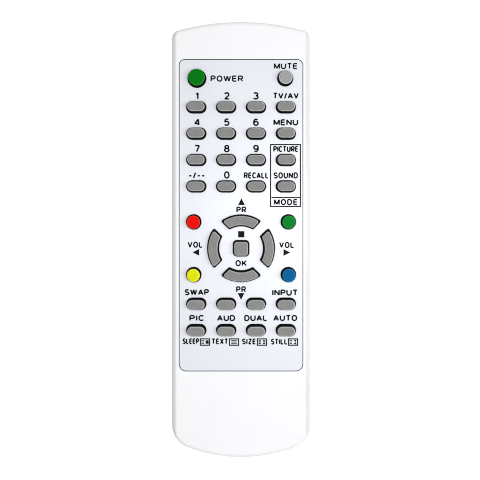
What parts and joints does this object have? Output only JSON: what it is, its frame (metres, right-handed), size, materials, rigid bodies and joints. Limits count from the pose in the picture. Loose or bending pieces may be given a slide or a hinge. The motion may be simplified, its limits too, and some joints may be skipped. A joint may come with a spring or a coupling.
{
  "type": "universal remote control",
  "caption": "Slim handheld infrared remote control with a bowed white case, an inset key panel, sprung keys, a ring of arrow keys and a sliding battery door.",
  "frame": {"origin": "middle of the case's plan, on the flat back face", "axes": "+Y towards the end with the infrared lamp, +Z out of the keys, +X to the right when the keys face the reader"},
  "size_m": [0.05, 0.1574, 0.0218],
  "materials": {
    "case_white": "fine satin moulding with a soft gloss",
    "panel_silver": "pale bluish silver printed sheet",
    "key_grey": "mid grey moulding, fine texture",
    "key_pale_grey": "light grey moulding, fine texture",
    "key_dark_green": "deep green moulding",
    "key_red": "bright red moulding",
    "key_green": "green moulding",
    "key_yellow": "lemon yellow moulding",
    "key_blue": "blue moulding",
    "mat_rubber": "matt silicone rubber",
    "board_laminate": "tan phenolic laminate",
    "chip_black": "black epoxy",
    "resonator_brown": "dipped orange brown ceramic",
    "capacitor_sleeve": "shrunk dark blue sleeve",
    "resistor_ceramic": "dark glaze over white ceramic",
    "screw_steel": "zinc plated",
    "lamp_lens": "dark tinted clear epoxy",
    "contact_steel": "nickel plated spring steel",
    "cell_jacket": "plain printed metal jacket"
  },
  "bodies": {
    "case": {"top_case": "case_white", "bottom_case": "case_white", "face_panel": "panel_silver", "keypad_mat": "mat_rubber", "circuit_board": "board_laminate", "control_chip": "chip_black", "lamp_transistor": "chip_black", "resonator": "resonator_brown", "smoothing_capacitor": "capacitor_sleeve", "board_resistors": "resistor_ceramic", "board_screws": "screw_steel", "ir_lamp": "lamp_lens", "contact_plus": "contact_steel", "contact_minus": "contact_steel", "contact_bridge": "contact_steel", "cell_left": "cell_jacket", "cell_right": "cell_jacket"},
    "battery_door": {"battery_door": "case_white"},
    "key_blue": {"key_blue": "key_blue"},
    "key_channel_down": {"key_channel_down": "key_grey"},
    "key_channel_up": {"key_channel_up": "key_grey"},
    "key_dash": {"key_dash": "key_grey"},
    "key_digit_0": {"key_digit_0": "key_grey"},
    "key_digit_1": {"key_digit_1": "key_grey"},
    "key_digit_2": {"key_digit_2": "key_grey"},
    "key_digit_3": {"key_digit_3": "key_grey"},
    "key_digit_4": {"key_digit_4": "key_grey"},
    "key_digit_5": {"key_digit_5": "key_grey"},
    "key_digit_6": {"key_digit_6": "key_grey"},
    "key_digit_7": {"key_digit_7": "key_grey"},
    "key_digit_8": {"key_digit_8": "key_grey"},
    "key_digit_9": {"key_digit_9": "key_grey"},
    "key_green": {"key_green": "key_green"},
    "key_input": {"key_input": "key_grey"},
    "key_menu": {"key_menu": "key_grey"},
    "key_mute": {"key_mute": "key_pale_grey"},
    "key_ok": {"key_ok": "key_grey"},
    "key_picture": {"key_picture": "key_grey"},
    "key_plain_left": {"key_plain_left": "key_grey"},
    "key_plain_right": {"key_plain_right": "key_grey"},
    "key_power": {"key_power": "key_dark_green"},
    "key_recall": {"key_recall": "key_grey"},
    "key_red": {"key_red": "key_red"},
    "key_size": {"key_size": "key_grey"},
    "key_sleep": {"key_sleep": "key_grey"},
    "key_sound": {"key_sound": "key_grey"},
    "key_source": {"key_source": "key_grey"},
    "key_still": {"key_still": "key_grey"},
    "key_swap": {"key_swap": "key_grey"},
    "key_text": {"key_text": "key_grey"},
    "key_volume_down": {"key_volume_down": "key_grey"},
    "key_volume_up": {"key_volume_up": "key_grey"},
    "key_yellow": {"key_yellow": "key_yellow"}
  },
  "joints": [
    {"name": "battery_door_slide", "type": "slide", "parent": "case", "child": "battery_door", "axis": [0, -1, 0], "range_m": [0, 0.06]},
    {"name": "key_blue_press", "type": "slide", "parent": "case", "child": "key_blue", "axis": [0, 0, -1], "range_m": [0, 0.0008], "stiffness_N_per_m": 900},
    {"name": "key_channel_down_press", "type": "slide", "parent": "case", "child": "key_channel_down", "axis": [0, 0, -1], "range_m": [0, 0.0008], "stiffness_N_per_m": 900},
    {"name": "key_channel_up_press", "type": "slide", "parent": "case", "child": "key_channel_up", "axis": [0, 0, -1], "range_m": [0, 0.0008], "stiffness_N_per_m": 900},
    {"name": "key_dash_press", "type": "slide", "parent": "case", "child": "key_dash", "axis": [0, 0, -1], "range_m": [0, 0.0008], "stiffness_N_per_m": 900},
    {"name": "key_digit_0_press", "type": "slide", "parent": "case", "child": "key_digit_0", "axis": [0, 0, -1], "range_m": [0, 0.0008], "stiffness_N_per_m": 900},
    {"name": "key_digit_1_press", "type": "slide", "parent": "case", "child": "key_digit_1", "axis": [0, 0, -1], "range_m": [0, 0.0008], "stiffness_N_per_m": 900},
    {"name": "key_digit_2_press", "type": "slide", "parent": "case", "child": "key_digit_2", "axis": [0, 0, -1], "range_m": [0, 0.0008], "stiffness_N_per_m": 900},
    {"name": "key_digit_3_press", "type": "slide", "parent": "case", "child": "key_digit_3", "axis": [0, 0, -1], "range_m": [0, 0.0008], "stiffness_N_per_m": 900},
    {"name": "key_digit_4_press", "type": "slide", "parent": "case", "child": "key_digit_4", "axis": [0, 0, -1], "range_m": [0, 0.0008], "stiffness_N_per_m": 900},
    {"name": "key_digit_5_press", "type": "slide", "parent": "case", "child": "key_digit_5", "axis": [0, 0, -1], "range_m": [0, 0.0008], "stiffness_N_per_m": 900},
    {"name": "key_digit_6_press", "type": "slide", "parent": "case", "child": "key_digit_6", "axis": [0, 0, -1], "range_m": [0, 0.0008], "stiffness_N_per_m": 900},
    {"name": "key_digit_7_press", "type": "slide", "parent": "case", "child": "key_digit_7", "axis": [0, 0, -1], "range_m": [0, 0.0008], "stiffness_N_per_m": 900},
    {"name": "key_digit_8_press", "type": "slide", "parent": "case", "child": "key_digit_8", "axis": [0, 0, -1], "range_m": [0, 0.0008], "stiffness_N_per_m": 900},
    {"name": "key_digit_9_press", "type": "slide", "parent": "case", "child": "key_digit_9", "axis": [0, 0, -1], "range_m": [0, 0.0008], "stiffness_N_per_m": 900},
    {"name": "key_green_press", "type": "slide", "parent": "case", "child": "key_green", "axis": [0, 0, -1], "range_m": [0, 0.0008], "stiffness_N_per_m": 900},
    {"name": "key_input_press", "type": "slide", "parent": "case", "child": "key_input", "axis": [0, 0, -1], "range_m": [0, 0.0008], "stiffness_N_per_m": 900},
    {"name": "key_menu_press", "type": "slide", "parent": "case", "child": "key_menu", "axis": [0, 0, -1], "range_m": [0, 0.0008], "stiffness_N_per_m": 900},
    {"name": "key_mute_press", "type": "slide", "parent": "case", "child": "key_mute", "axis": [0, 0, -1], "range_m": [0, 0.0008], "stiffness_N_per_m": 900},
    {"name": "key_ok_press", "type": "slide", "parent": "case", "child": "key_ok", "axis": [0, 0, -1], "range_m": [0, 0.0008], "stiffness_N_per_m": 900},
    {"name": "key_picture_press", "type": "slide", "parent": "case", "child": "key_picture", "axis": [0, 0, -1], "range_m": [0, 0.0008], "stiffness_N_per_m": 900},
    {"name": "key_plain_left_press", "type": "slide", "parent": "case", "child": "key_plain_left", "axis": [0, 0, -1], "range_m": [0, 0.0008], "stiffness_N_per_m": 900},
    {"name": "key_plain_right_press", "type": "slide", "parent": "case", "child": "key_plain_right", "axis": [0, 0, -1], "range_m": [0, 0.0008], "stiffness_N_per_m": 900},
    {"name": "key_power_press", "type": "slide", "parent": "case", "child": "key_power", "axis": [0, 0, -1], "range_m": [0, 0.0008], "stiffness_N_per_m": 900},
    {"name": "key_recall_press", "type": "slide", "parent": "case", "child": "key_recall", "axis": [0, 0, -1], "range_m": [0, 0.0008], "stiffness_N_per_m": 900},
    {"name": "key_red_press", "type": "slide", "parent": "case", "child": "key_red", "axis": [0, 0, -1], "range_m": [0, 0.0008], "stiffness_N_per_m": 900},
    {"name": "key_size_press", "type": "slide", "parent": "case", "child": "key_size", "axis": [0, 0, -1], "range_m": [0, 0.0008], "stiffness_N_per_m": 900},
    {"name": "key_sleep_press", "type": "slide", "parent": "case", "child": "key_sleep", "axis": [0, 0, -1], "range_m": [0, 0.0008], "stiffness_N_per_m": 900},
    {"name": "key_sound_press", "type": "slide", "parent": "case", "child": "key_sound", "axis": [0, 0, -1], "range_m": [0, 0.0008], "stiffness_N_per_m": 900},
    {"name": "key_source_press", "type": "slide", "parent": "case", "child": "key_source", "axis": [0, 0, -1], "range_m": [0, 0.0008], "stiffness_N_per_m": 900},
    {"name": "key_still_press", "type": "slide", "parent": "case", "child": "key_still", "axis": [0, 0, -1], "range_m": [0, 0.0008], "stiffness_N_per_m": 900},
    {"name": "key_swap_press", "type": "slide", "parent": "case", "child": "key_swap", "axis": [0, 0, -1], "range_m": [0, 0.0008], "stiffness_N_per_m": 900},
    {"name": "key_text_press", "type": "slide", "parent": "case", "child": "key_text", "axis": [0, 0, -1], "range_m": [0, 0.0008], "stiffness_N_per_m": 900},
    {"name": "key_volume_down_press", "type": "slide", "parent": "case", "child": "key_volume_down", "axis": [0, 0, -1], "range_m": [0, 0.0008], "stiffness_N_per_m": 900},
    {"name": "key_volume_up_press", "type": "slide", "parent": "case", "child": "key_volume_up", "axis": [0, 0, -1], "range_m": [0, 0.0008], "stiffness_N_per_m": 900},
    {"name": "key_yellow_press", "type": "slide", "parent": "case", "child": "key_yellow", "axis": [0, 0, -1], "range_m": [0, 0.0008], "stiffness_N_per_m": 900}
  ]
}
